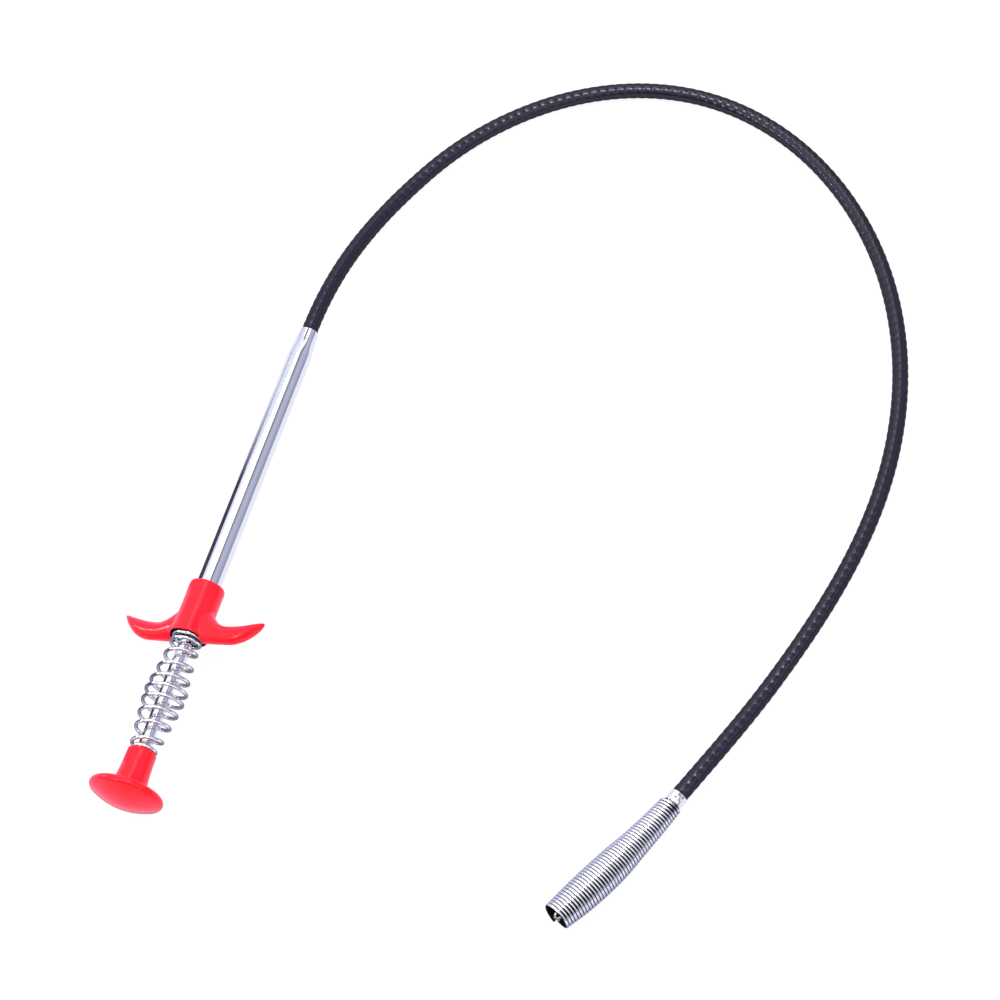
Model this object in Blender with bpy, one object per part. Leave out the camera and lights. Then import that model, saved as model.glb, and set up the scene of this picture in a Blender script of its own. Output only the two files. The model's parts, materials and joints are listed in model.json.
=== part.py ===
"""Drain auger: a sprung finger-grip plunger pushes a four-wire claw out of a long flexible sheath.

World frame: metres, +Z up, with the tool lying on the plane z = 0. The origin is on that plane, at the
middle of the whole tool's outline as seen from above. +X runs along the handle towards the sheath.
Sizes below are written in millimetres times MM. Lengths along the handle are stations on its own
axis, counted from the rear edges of the grip's wings. Lengths along the tip are stations from the
ferrule's rear face.
"""

import math

import bmesh
import bpy
from mathutils import Matrix, Vector

MM = 0.001

# Driving dimensions: the whole tool
HANDLE_X = -122.4 * MM  # world place of the handle's station 0
HANDLE_Y = 104.4 * MM
AXIS_HEIGHT = 14.1 * MM  # handle axis above the plane the tool lies on, the knob's radius
ROLL = math.radians(24.5)  # handle turned about its axis until one wing tip touches the plane
STROKE = 24.0 * MM  # plunger travel, and so claw travel
CLEARANCE = 0.3 * MM  # gap kept between neighbouring pieces
SEAT_GAP = 0.2 * MM  # gap kept where one piece sits in or on another
POLE = 0.5 * MM  # radius of the small flat that closes a turned body on its axis

# Thumb knob and plunger
KNOB_RADIUS = 14.1 * MM
KNOB_NECK_FRONT = -46.0 * MM
KNOB_NECK_RADIUS = 5.5 * MM
KNOB_NECK_EDGE = 0.8 * MM
KNOB_FLARE = 1.3 * MM  # how much the neck widens towards the cap
KNOB_RIM = -63.1 * MM
KNOB_RIM_ROUND = 1.6 * MM
KNOB_BACK = -68.2 * MM
PLUNGER_RADIUS = 2.65 * MM
PLUNGER_BORE = 1.75 * MM
PLUNGER_REAR = -56.5 * MM
PLUNGER_FRONT = 24.0 * MM
CRIMP_LENGTH = 10.0 * MM

# Finger grip
GRIP_REAR = 2.0 * MM  # the spring seat's mouth, between the wings
GRIP_FRONT = 24.3 * MM
GRIP_MOUTH_RADIUS = 7.7 * MM
GRIP_NECK_RADIUS = 6.9 * MM
GRIP_NECK_START = 13.0 * MM
GRIP_EDGE = 0.9 * MM
WING_REACH = 31.8 * MM  # axis to wing tip
WING_REAR = 0.2 * MM
WING_FRONT = 7.5 * MM
WING_HALF_THICKNESS = 2.9 * MM
WING_ROOT = 15.5 * MM  # reach within which the wing swells into the neck
WING_ROOT_SWELL = 18.0 * MM
WING_ROOT_THICKEN = 2.1 * MM
WING_SWEEP_START = 17.5 * MM  # reach beyond which the wing's edges are drawn forward
WING_FRONT_SWEEP = 2.6 * MM
WING_REAR_SWEEP = 9.1 * MM
WING_TIP_ROUND = 8.0 * MM
RECESS_RADIUS = 6.9 * MM
RECESS_FLOOR = 3.5 * MM

# Handle tube and its guide bush
TUBE_RADIUS = 4.75 * MM
TUBE_BORE = 4.15 * MM
TUBE_REAR = 5.0 * MM
TUBE_FRONT = 143.0 * MM
SWAGE_REAR = 130.5 * MM  # stations between which the tube tapers down
SWAGE_FRONT = 139.5 * MM
SWAGE_RADIUS = 3.85 * MM
SWAGE_BORE = 3.45 * MM
BUSH_LENGTH = 12.0 * MM
BUSH_FLANGE = 1.5 * MM
BUSH_FLANGE_RADIUS = 4.4 * MM

# Return spring, from its seat in the grip to its seat on the knob's neck
SPRING_WIRE = 0.6 * MM
SPRING_PITCHES = tuple(p * MM for p in (1.4, 2.8, 5.8, 5.8, 5.2, 4.1, 4.5, 5.3, 5.4, 6.2, 1.4))  # by turn
SPRING_RADII = tuple(r * MM for r in (5.95, 6.0, 6.3, 7.1, 8.15, 7.95, 7.05, 6.05, 4.85))  # outside

# Sheath and core cable
SHEATH_RADIUS = 3.25 * MM
SHEATH_BORE = 2.8 * MM
SHEATH_START = 144.5 * MM  # station where it begins to bend, just ahead of the tube's mouth
SHEATH_LENGTH = 605.0 * MM  # from there to the tip ferrule
SHEATH_HIDDEN = 14.0 * MM  # straight length behind its start, nearly all inside the tube
SHEATH_DROP = 95.0 * MM  # length over which the sheath comes down to the plane
SHEATH_RISE = 60.0 * MM  # length over which it lifts to the tip's axis
BEND_RATES = (3.0, 5.7, 7.7, 12.3, 7.5, 5.5, 4.6, 1.8, 0.7)  # right-hand bend in rad/m, evenly spaced
SPIRAL_PITCH = 3.8 * MM
SPIRAL_RADIUS = 1.95 * MM
SPIRAL_WIRE = 0.45 * MM
CABLE_RADIUS = 0.75 * MM
CABLE_BORE = CABLE_RADIUS + CLEARANCE
CABLE_REAR = -20.0 * MM

# Tip: ferrule, spring and claw
TIP_HEIGHT = 6.65 * MM
TIP_LENGTH = 65.5 * MM
TIP_TURN = math.radians(9.0)  # the tip's gentle right-hand bow
FERRULE_RADIUS = 3.55 * MM
FERRULE_SLEEVE = 4.5 * MM
FERRULE_LENGTH = 13.0 * MM
SPIGOT_RADIUS = 2.6 * MM
TIP_WIRE = 0.56 * MM
TIP_PITCH = 1.3 * MM
TIP_RADII = tuple(r * MM for r in (4.45, 4.95, 5.55, 6.4, 6.62, 6.4, 5.7))  # outside
CLAW_COUNT = 4
CLAW_WIRE = 0.55 * MM
CLAW_PIVOT = 42.5 * MM
CLAW_ROOT_RADIUS = 1.25 * MM
CLAW_PHASE = math.radians(45.0)
STEM_REAR = 15.5 * MM
STEM_FRONT = 41.7 * MM
STEM_RADIUS = 1.85 * MM
COLLAR_REAR = 36.5 * MM
COLLAR_FRONT = 43.3 * MM

# Colours as linear RGB, with roughness and metallic
RED_PLASTIC = ((0.90, 0.035, 0.045), 0.32, 0.0)
BLACK_VINYL = ((0.022, 0.020, 0.026), 0.42, 0.0)
BLACK_NYLON = ((0.015, 0.015, 0.017), 0.50, 0.0)
CHROME = ((0.80, 0.81, 0.84), 0.12, 1.0)
BRIGHT_STEEL = ((0.72, 0.73, 0.76), 0.24, 1.0)
PLAIN_STEEL = ((0.48, 0.48, 0.50), 0.38, 1.0)
WIRE_ROPE = ((0.42, 0.42, 0.43), 0.45, 1.0)
BRASS = ((0.72, 0.55, 0.25), 0.30, 1.0)


def clear_scene():
    for obj in list(bpy.data.objects):
        bpy.data.objects.remove(obj, do_unlink=True)


def surface(name, look):
    """A Principled material from (colour, roughness, metallic)."""
    colour, roughness, metallic = look
    material = bpy.data.materials.new(name)
    material.use_nodes = True
    shader = material.node_tree.nodes["Principled BSDF"]
    shader.inputs["Base Color"].default_value = (*colour, 1.0)
    shader.inputs["Roughness"].default_value = roughness
    shader.inputs["Metallic"].default_value = metallic
    material.diffuse_color = (*colour, 1.0)
    return material


def empty(name, matrix, parent=None):
    """An axis frame that pieces are placed by."""
    frame = bpy.data.objects.new(name, None)
    frame.empty_display_size = 10 * MM
    bpy.context.scene.collection.objects.link(frame)
    frame.parent = parent
    frame.matrix_local = matrix
    return frame


def piece(name, mesh, look, parent=None, matrix=None):
    """A named object with its own material, smooth but for its real edges."""
    mesh.name = name
    mesh.shade_smooth()
    mesh.set_sharp_from_angle(angle=math.radians(38))
    mesh.materials.append(surface(name, look))
    obj = bpy.data.objects.new(name, mesh)
    bpy.context.scene.collection.objects.link(obj)
    obj.parent = parent
    if matrix is not None:
        obj.matrix_local = matrix
    return obj


def cutter(name, mesh, parent):
    """A helper solid for a Boolean, left out of the model."""
    obj = bpy.data.objects.new(name, mesh)
    bpy.context.scene.collection.objects.link(obj)
    obj.parent = parent
    obj.hide_render = True
    obj.display_type = "WIRE"
    return obj


def skin(rings, looped=False):
    """A closed mesh through equal rings of points, capped at its ends or joined end to start."""
    shell = bmesh.new()
    loops = [[shell.verts.new(point) for point in ring] for ring in rings]
    pairs = list(zip(loops, loops[1:]))
    if looped:
        pairs.append((loops[-1], loops[0]))
    else:
        shell.faces.new(reversed(loops[0]))
        shell.faces.new(loops[-1])
    count = len(loops[0])
    for near, far in pairs:
        for i in range(count):
            j = (i + 1) % count
            shell.faces.new((near[i], near[j], far[j], far[i]))
    if shell.calc_volume(signed=True) < 0:
        bmesh.ops.reverse_faces(shell, faces=shell.faces)
    mesh = bpy.data.meshes.new("skin")
    shell.to_mesh(mesh)
    shell.free()
    return mesh


def circle(centre, across, upward, radius, sides):
    """Points round a centre, in the plane of two unit vectors."""
    turns = [2 * math.pi * i / sides for i in range(sides)]
    return [centre + radius * (math.cos(a) * across + math.sin(a) * upward) for a in turns]


def turned(outline, sides, looped=False):
    """A body turned about local X from (station, radius) points, solid or, if looped, hollow."""
    across, upward = Vector((0, 1, 0)), Vector((0, 0, 1))
    return skin([circle(Vector((x, 0, 0)), across, upward, r, sides) for x, r in outline], looped)


def arc(centre, radius, start, end, steps):
    """(station, radius) points on a quarter-round or other arc, angles in degrees from +station."""
    points = []
    for i in range(steps + 1):
        angle = math.radians(start + (end - start) * i / steps)
        points.append((centre[0] + radius * math.cos(angle), centre[1] + radius * math.sin(angle)))
    return points


def wire(points, radius, sides, upward=Vector((0, 0, 1))):
    """A round wire along a line of points."""
    rings = []
    last = len(points) - 1
    for i, point in enumerate(points):
        along = (points[min(i + 1, last)] - points[max(i - 1, 0)]).normalized()
        across = upward.cross(along).normalized()
        rings.append(circle(point, across, along.cross(across), radius, sides))
    return skin(rings)


def coil(centre_line, radius_at, turns, steps, wire_radius, sides):
    """A coil of round wire: centre_line(u) gives (point, along, across, upward) for u from 0 to 1."""
    rings = []
    count = round(turns * steps)
    for i in range(count + 1):
        u = i / count
        point, along, across, upward = centre_line(u)
        angle = 2 * math.pi * turns * u
        outward = math.cos(angle) * across + math.sin(angle) * upward
        rings.append(circle(point + radius_at(u) * outward, outward, along, wire_radius, sides))
    return skin(rings)


def smooth_step(u):
    u = min(max(u, 0.0), 1.0)
    return u * u * (3 - 2 * u)


def spaced_value(values, u):
    """A smooth value at u from 0 to 1 through evenly spaced values (Catmull-Rom)."""
    place = min(max(u, 0.0), 1.0) * (len(values) - 1)
    i = min(int(place), len(values) - 2)
    t = place - i
    a, b, c, d = (values[min(max(k, 0), len(values) - 1)] for k in (i - 1, i, i + 1, i + 2))
    return b + 0.5 * t * (c - a + t * (2 * a - 5 * b + 4 * c - d + t * (3 * (b - c) + d - a)))


def bend_rate(s):
    """The sheath's right-hand bend at a length from its start, in straight lines between values."""
    place = min(max(s / SHEATH_LENGTH, 0.0), 1.0) * (len(BEND_RATES) - 1)
    i = min(int(place), len(BEND_RATES) - 2)
    return BEND_RATES[i] + (BEND_RATES[i + 1] - BEND_RATES[i]) * (place - i)


def sheath_height(s):
    """Height of the sheath's centre: down from the handle, along the plane, up to the tip's axis."""
    down = (AXIS_HEIGHT - SHEATH_RADIUS) * (1 - smooth_step(s / SHEATH_DROP))
    lift = (TIP_HEIGHT - SHEATH_RADIUS) * smooth_step((s - SHEATH_LENGTH + SHEATH_RISE) / SHEATH_RISE)
    return SHEATH_RADIUS + down + lift


def sheath_plan():
    """Points and headings of the sheath seen from above, one for each millimetre of its length."""
    x, y, heading = HANDLE_X + SHEATH_START, HANDLE_Y, 0.0
    plan = [(x, y, heading)]
    for i in range(round(SHEATH_LENGTH / MM)):
        turn = bend_rate((i + 0.5) * MM) * MM
        heading -= turn / 2
        x += MM * math.cos(heading)
        y += MM * math.sin(heading)
        heading -= turn / 2
        plan.append((x, y, heading))
    return plan


SHEATH_PLAN = sheath_plan()


def sheath_point(s):
    """The sheath's centre at a length from its start, straight before it and after the ferrule."""
    last = len(SHEATH_PLAN) - 1
    place = min(max(s / MM, 0.0), last)
    i = min(int(place), last - 1)
    t = place - i
    near, far = SHEATH_PLAN[i], SHEATH_PLAN[i + 1]
    x, y, heading = (a + (b - a) * t for a, b in zip(near, far))
    beyond = s - place * MM
    x += beyond * math.cos(heading)
    y += beyond * math.sin(heading)
    return Vector((x, y, sheath_height(s)))


def sheath_frame(s):
    """(point, along, across, upward) of the sheath's centre line."""
    step = 0.5 * MM
    along = (sheath_point(s + step) - sheath_point(s - step)).normalized()
    across = Vector((0, 0, 1)).cross(along).normalized()
    return sheath_point(s), along, across, along.cross(across)


def tip_frame():
    """The tip's own frame: origin at the ferrule's rear face, +X outward along the sheath's end."""
    heading = SHEATH_PLAN[-1][2]
    return Matrix.Translation(sheath_point(SHEATH_LENGTH)) @ Matrix.Rotation(heading, 4, "Z")


def tip_arc(t):
    """(point, along, across, upward) on the tip's bowed centre line, in the tip's own frame."""
    radius = TIP_LENGTH / TIP_TURN
    angle = t / radius
    point = Vector((radius * math.sin(angle), -radius * (1 - math.cos(angle)), 0))
    along = Vector((math.cos(angle), -math.sin(angle), 0))
    upward = Vector((0, 0, 1))
    return point, along, upward.cross(along), upward


def claw_axis_matrix():
    """The claw's straight line of travel, a chord of the bowed tip, in the tip's own frame."""
    near, far = 20 * MM, 58 * MM
    start = tip_arc(near)[0]
    along = (tip_arc(far)[0] - start).normalized()
    origin = start - near * along
    return Matrix.Translation(origin) @ Matrix.Rotation(math.atan2(along.y, along.x), 4, "Z")


def make_thumb_knob(parent):
    """A mushroom knob: a flared neck with a blind socket for the plunger, and a cap domed behind."""
    socket = PLUNGER_RADIUS + CLEARANCE
    bottom = PLUNGER_REAR - CLEARANCE
    edge = KNOB_NECK_EDGE
    outline = [(bottom, POLE), (bottom, socket), (KNOB_NECK_FRONT, socket)]
    outline += arc((KNOB_NECK_FRONT - edge, KNOB_NECK_RADIUS - edge), edge, 0, 90, 3)
    cap_front = KNOB_RIM + KNOB_RIM_ROUND
    for t in (0.3, 0.5, 0.7, 0.85, 1.0):
        station = KNOB_NECK_FRONT + (cap_front - KNOB_NECK_FRONT) * t
        outline.append((station, KNOB_NECK_RADIUS + KNOB_FLARE * t ** 2.5))
    outline += arc((KNOB_RIM, KNOB_RADIUS - KNOB_RIM_ROUND), KNOB_RIM_ROUND, 20, 150, 6)
    edge_station, edge_radius = outline[-1]
    for t in (0.85, 0.7, 0.5, 0.3, POLE / edge_radius):
        outline.append((KNOB_BACK + (edge_station - KNOB_BACK) * t * t, edge_radius * t))
    return piece("thumb_knob", turned(outline, 32), RED_PLASTIC, parent)


def make_plunger_tube(parent):
    """The thin chromed tube between the knob and the core cable, open at both ends."""
    bevel = 0.4 * MM
    outline = [(PLUNGER_REAR, PLUNGER_BORE), (PLUNGER_REAR, PLUNGER_RADIUS)]
    outline += [(PLUNGER_FRONT - bevel, PLUNGER_RADIUS), (PLUNGER_FRONT, PLUNGER_RADIUS - bevel)]
    outline += [(PLUNGER_FRONT, PLUNGER_BORE)]
    return piece("plunger_tube", turned(outline, 28, looped=True), CHROME, parent)


def make_cable_crimp(parent):
    """A slug in the plunger's front end, gripping the core cable."""
    front = PLUNGER_FRONT - CLEARANCE
    rear = front - CRIMP_LENGTH
    radius = PLUNGER_BORE - SEAT_GAP
    outline = [(rear, CABLE_BORE), (rear, radius), (front, radius), (front, CABLE_BORE)]
    return piece("cable_crimp", turned(outline, 20, looped=True), BRASS, parent)


def spring_line(u):
    """The return spring's centre line from front to rear, with its turns spaced by SPRING_PITCHES."""
    front = RECESS_FLOOR - SPRING_WIRE - SEAT_GAP
    stations = [front - sum(SPRING_PITCHES[:i]) for i in range(len(SPRING_PITCHES) + 1)]
    point = Vector((spaced_value(stations, u), 0, 0))
    return point, Vector((-1, 0, 0)), Vector((0, 1, 0)), Vector((0, 0, -1))


def make_return_spring(parent):
    """A barrel-shaped right-hand spring: narrow at both seats, widest near its middle."""

    def radius(u):
        return spaced_value(SPRING_RADII, u) - SPRING_WIRE

    mesh = coil(spring_line, radius, len(SPRING_PITCHES), 12, SPRING_WIRE, 6)
    return piece("return_spring", mesh, BRIGHT_STEEL, parent)


def wing_section(reach):
    """A wing's (middle station, half breadth, half thickness) at a distance from the handle's axis."""
    thinnest = 0.3 * MM
    root = max(0.0, 1 - reach / WING_ROOT)
    sweep = max(0.0, (reach - WING_SWEEP_START) / (WING_REACH - WING_SWEEP_START))
    front = WING_FRONT + WING_ROOT_SWELL * root * root + WING_FRONT_SWEEP * sweep ** 1.5
    rear = WING_REAR + WING_REAR_SWEEP * sweep ** 2.2
    thickness = WING_HALF_THICKNESS + WING_ROOT_THICKEN * root
    fade = min(1.0, (WING_REACH - reach) / WING_TIP_ROUND)
    thickness *= math.sqrt(fade * (2 - fade))
    return 0.5 * (front + rear), max(0.5 * (front - rear), thinnest), max(thickness, thinnest)


def wings_mesh():
    """Both wings as one body through the grip, oval across and drawn forward at the tips."""
    sides, steps = 14, 12
    tip, innermost = 0.995 * WING_REACH, 5 * MM
    reaches = [tip * math.sin(0.5 * math.pi * i / steps) for i in range(1, steps + 1)]
    rings = []
    for y in [-reach for reach in reversed(reaches)] + [0.0] + reaches:
        middle, breadth, thickness = wing_section(max(abs(y), innermost))
        ring = []
        for i in range(sides):
            angle = 2 * math.pi * i / sides
            ring.append(Vector((middle + breadth * math.cos(angle), y, thickness * math.sin(angle))))
        rings.append(ring)
    return skin(rings)


def make_finger_grip(parent):
    """A moulded grip: a neck over the tube, a mouth that seats the spring, and two wings."""
    lip = 0.3 * MM
    outline = [(GRIP_REAR, POLE), (GRIP_REAR, GRIP_MOUTH_RADIUS - lip)]
    widening = GRIP_MOUTH_RADIUS - GRIP_NECK_RADIUS
    for t in (0.03, 0.35, 0.7, 1.0):
        station = GRIP_REAR + (GRIP_NECK_START - GRIP_REAR) * t
        outline.append((station, GRIP_NECK_RADIUS + widening * (1 - t) ** 2))
    outline += arc((GRIP_FRONT - GRIP_EDGE, GRIP_NECK_RADIUS - GRIP_EDGE), GRIP_EDGE, 90, 0, 3)
    outline += [(GRIP_FRONT, POLE)]
    grip = piece("finger_grip", turned(outline, 32), RED_PLASTIC, parent)
    wings = cutter("grip_wings", wings_mesh(), parent)
    past = 2 * MM
    bore = TUBE_RADIUS + SEAT_GAP
    hollow = [(WING_REAR - past, RECESS_RADIUS), (RECESS_FLOOR, RECESS_RADIUS)]
    hollow += [(RECESS_FLOOR, bore), (GRIP_FRONT + past, bore)]
    bores = cutter("grip_bores", turned(hollow, 32), parent)
    for helper, operation in ((wings, "UNION"), (bores, "DIFFERENCE")):
        joint = grip.modifiers.new(helper.name, "BOOLEAN")
        joint.operation = operation
        joint.object = helper
        joint.solver = "EXACT"
    return grip


def make_guide_bush(parent):
    """A flanged nylon bush in the tube's rear end, guiding the plunger."""
    flange_front = TUBE_REAR - CLEARANCE
    flange_rear = flange_front - BUSH_FLANGE
    body_radius = TUBE_BORE - SEAT_GAP
    bore = PLUNGER_RADIUS + CLEARANCE
    end = flange_front + BUSH_LENGTH
    outline = [(flange_rear, bore), (flange_rear, BUSH_FLANGE_RADIUS), (flange_front, BUSH_FLANGE_RADIUS)]
    outline += [(flange_front, body_radius), (end, body_radius), (end, bore)]
    return piece("guide_bush", turned(outline, 28, looped=True), BLACK_NYLON, parent)


def make_handle_tube(parent):
    """The chromed tube, tapered down at its front end onto the sheath."""
    bevel = 0.25 * MM
    outer = [(TUBE_REAR, TUBE_RADIUS)]
    inner = [(TUBE_REAR, TUBE_BORE)]
    for t in (0.0, 0.25, 0.5, 0.75, 1.0):
        station = SWAGE_REAR + (SWAGE_FRONT - SWAGE_REAR) * t
        outer.append((station, TUBE_RADIUS + (SWAGE_RADIUS - TUBE_RADIUS) * smooth_step(t)))
        inner.append((station, TUBE_BORE + (SWAGE_BORE - TUBE_BORE) * smooth_step(t)))
    outer += [(TUBE_FRONT - bevel, SWAGE_RADIUS), (TUBE_FRONT, SWAGE_RADIUS - bevel)]
    inner += [(TUBE_FRONT, SWAGE_BORE)]
    return piece("handle_tube", turned(outer + inner[::-1], 36, looped=True), CHROME, parent)


def make_sheath_jacket():
    """The sheath's vinyl jacket, an open-ended pipe that follows the sheath's bends."""
    steps, sides = 58, 10
    length = SHEATH_LENGTH + SHEATH_HIDDEN - CLEARANCE
    outer, inner = [], []
    for i in range(steps + 1):
        point, _, across, upward = sheath_frame(length * i / steps - SHEATH_HIDDEN)
        outer.append(circle(point, across, upward, SHEATH_RADIUS, sides))
        inner.append(circle(point, across, upward, SHEATH_BORE, sides))
    return piece("sheath_jacket", skin(outer + inner[::-1], looped=True), BLACK_VINYL)


def make_sheath_spiral():
    """The steel spiral inside the jacket, which keeps it from kinking and carries the thrust."""
    start = 0.5 * MM - SHEATH_HIDDEN
    length = SHEATH_LENGTH + 2.6 * MM - start

    def line(u):
        return sheath_frame(start + length * u)

    turns = length / SPIRAL_PITCH
    mesh = coil(line, lambda u: SPIRAL_RADIUS, turns, 5, SPIRAL_WIRE, 3)
    return piece("sheath_spiral", mesh, PLAIN_STEEL)


def make_core_cable(tip, claw_axis):
    """The wire rope that runs from the plunger, through the sheath, to the claw's stem."""
    straight_run = (CABLE_REAR, 30 * MM, 80 * MM, 120 * MM)
    points = [Vector((HANDLE_X + station, HANDLE_Y, AXIS_HEIGHT)) for station in straight_run]
    steps = 62
    points += [sheath_point(SHEATH_LENGTH * i / steps) for i in range(steps)]
    cable_end = STEM_REAR + STROKE + 1.3 * MM
    for t in (0.0, 4 * MM, 8 * MM, 10 * MM, 12 * MM, 14 * MM, 20 * MM, 28 * MM, cable_end):
        bowed = tip @ tip_arc(t)[0]
        straight = claw_axis @ Vector((t, 0, 0))
        points.append(bowed.lerp(straight, smooth_step((t - 6 * MM) / (8 * MM))))
    return piece("core_cable", wire(points, CABLE_RADIUS, 5), WIRE_ROPE)


def make_tip_ferrule(parent):
    """The sleeve that ends the sheath, with a spigot that the tip spring winds onto."""
    seat = SHEATH_BORE - 0.05 * MM
    depth = 3.4 * MM
    cable_hole = 1.25 * MM
    bevel = 0.2 * MM
    outline = [(0.0, seat), (0.0, FERRULE_RADIUS - bevel), (bevel, FERRULE_RADIUS)]
    outline += [(FERRULE_SLEEVE - bevel, FERRULE_RADIUS), (FERRULE_SLEEVE, FERRULE_RADIUS - bevel)]
    outline += [(FERRULE_SLEEVE, SPIGOT_RADIUS), (FERRULE_LENGTH, SPIGOT_RADIUS)]
    outline += [(FERRULE_LENGTH, cable_hole), (depth, cable_hole), (depth, seat)]
    return piece("tip_ferrule", turned(outline, 28, looped=True), CHROME, parent)


def make_tip_spring(parent):
    """The close-wound bulb-shaped spring that forms the tip and hides the claw."""
    start = FERRULE_SLEEVE + CLEARANCE + TIP_WIRE
    length = TIP_LENGTH - TIP_WIRE - start

    def line(u):
        return tip_arc(start + length * u)

    def radius(u):
        return spaced_value(TIP_RADII, u) - TIP_WIRE

    mesh = coil(line, radius, length / TIP_PITCH, 8, TIP_WIRE, 4)
    return piece("tip_spring", mesh, BRIGHT_STEEL, parent)


def make_claw_stem(parent):
    """The sleeve crimped on the core cable, sliding inside the tip spring."""
    outline = [(STEM_REAR, CABLE_BORE), (STEM_REAR, STEM_RADIUS)]
    outline += [(STEM_FRONT, STEM_RADIUS), (STEM_FRONT, CABLE_BORE)]
    return piece("claw_stem", turned(outline, 16, looped=True), PLAIN_STEEL, parent)


def make_claw_collar(parent):
    """The ring on the stem's end that holds the roots of the claws."""
    bore, radius, bevel = STEM_RADIUS + CLEARANCE, 2.9 * MM, 0.3 * MM
    outline = [(COLLAR_REAR, bore), (COLLAR_REAR, radius - bevel), (COLLAR_REAR + bevel, radius)]
    outline += [(COLLAR_FRONT - bevel, radius), (COLLAR_FRONT, radius - bevel), (COLLAR_FRONT, bore)]
    return piece("claw_collar", turned(outline, 20, looped=True), PLAIN_STEEL, parent)


def claw_mesh():
    """A wire claw in its own frame: +X outward from its root, +Y away from the tip's axis."""
    outline = [(-0.4, 0.0), (3.0, 0.02), (7.0, 0.1), (11.0, 0.25), (15.0, 0.42), (18.0, 0.52)]
    outline += [(20.0, 0.45), (21.1, 0.25), (21.9, -0.05), (22.3, -0.3)]
    points = [Vector((x * MM, y * MM, 0)) for x, y in outline]
    return wire(points, CLAW_WIRE, 6)


def make_claw(number, parent):
    """A claw, placed with its origin on its hinge axis, which is its own +Z."""
    angle = CLAW_PHASE + 2 * math.pi * (number - 1) / CLAW_COUNT
    turn = Matrix.Rotation(angle, 4, "X")
    place = Matrix.Translation((CLAW_PIVOT, 0, 0)) @ turn @ Matrix.Translation((0, CLAW_ROOT_RADIUS, 0))
    return piece(f"claw_{number}", claw_mesh(), BRIGHT_STEEL, parent, place)


def make_handle():
    """The handle's pieces, on an axis frame whose +X points towards the sheath."""
    axis = Matrix.Translation((HANDLE_X, HANDLE_Y, AXIS_HEIGHT)) @ Matrix.Rotation(-ROLL, 4, "X")
    fixed = empty("handle_axis", axis)
    plunger = empty("plunger_axis", Matrix.Identity(4), fixed)
    make_thumb_knob(plunger)
    make_plunger_tube(plunger)
    make_cable_crimp(plunger)
    make_return_spring(fixed)
    make_finger_grip(fixed)
    make_guide_bush(fixed)
    make_handle_tube(fixed)


def make_tip():
    """The tip's pieces, the claw's on their own straight axis."""
    tip = tip_frame()
    claw_axis = claw_axis_matrix()
    fixed = empty("tip_axis", tip)
    carrier = empty("claw_axis", claw_axis, fixed)
    make_core_cable(tip, tip @ claw_axis)
    make_tip_ferrule(fixed)
    make_tip_spring(fixed)
    make_claw_stem(carrier)
    make_claw_collar(carrier)
    for number in range(1, CLAW_COUNT + 1):
        make_claw(number, carrier)


clear_scene()
make_handle()
make_sheath_jacket()
make_sheath_spiral()
make_tip()
bpy.context.view_layer.update()
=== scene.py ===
"""The looks of the drain auger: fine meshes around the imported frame, their materials, light and camera.

Metres, +Z up, the tool lying on z = 0 and +X along the handle towards the sheath. Stations on the
handle are counted from the rear edges of the grip's wings, and stations on the tip from its ferrule's
rear face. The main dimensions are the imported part's own, with slightly thicker wire on both springs,
and places come from its boxes and joints.
"""

import json
import math

import bmesh
import bpy
import numpy as np
from mathutils import Matrix, Vector

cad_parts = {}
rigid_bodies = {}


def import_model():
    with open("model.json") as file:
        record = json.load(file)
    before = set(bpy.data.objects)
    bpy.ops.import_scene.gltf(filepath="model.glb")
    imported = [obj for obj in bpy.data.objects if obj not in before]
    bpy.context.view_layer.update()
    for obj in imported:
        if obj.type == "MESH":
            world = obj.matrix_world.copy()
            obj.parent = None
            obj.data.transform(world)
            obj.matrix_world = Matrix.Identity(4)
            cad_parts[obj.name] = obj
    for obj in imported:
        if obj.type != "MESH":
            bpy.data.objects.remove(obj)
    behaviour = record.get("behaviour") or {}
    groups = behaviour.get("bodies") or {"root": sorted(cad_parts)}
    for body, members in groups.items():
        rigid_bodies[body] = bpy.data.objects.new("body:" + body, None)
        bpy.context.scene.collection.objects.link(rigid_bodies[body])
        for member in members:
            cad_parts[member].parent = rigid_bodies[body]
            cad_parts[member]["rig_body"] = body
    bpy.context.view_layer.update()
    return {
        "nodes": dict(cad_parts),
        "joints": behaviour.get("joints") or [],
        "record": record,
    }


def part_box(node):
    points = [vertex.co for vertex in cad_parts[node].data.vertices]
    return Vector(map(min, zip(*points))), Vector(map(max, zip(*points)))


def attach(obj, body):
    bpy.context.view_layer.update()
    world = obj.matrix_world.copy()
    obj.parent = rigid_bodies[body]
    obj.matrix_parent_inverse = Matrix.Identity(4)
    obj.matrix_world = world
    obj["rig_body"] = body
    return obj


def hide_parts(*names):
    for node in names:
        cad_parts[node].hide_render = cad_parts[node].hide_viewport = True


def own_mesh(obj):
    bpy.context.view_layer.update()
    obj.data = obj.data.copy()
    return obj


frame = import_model()

MM = 0.001
SHARP_ANGLE = math.radians(32)
INSIDE = "inside"  # the name of the point values that drive a material's painted shade and other darkening
JOINTS = {joint["name"]: joint for joint in frame["joints"]}
STROKE = JOINTS["plunger_slide"]["range_m"][1]

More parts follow.
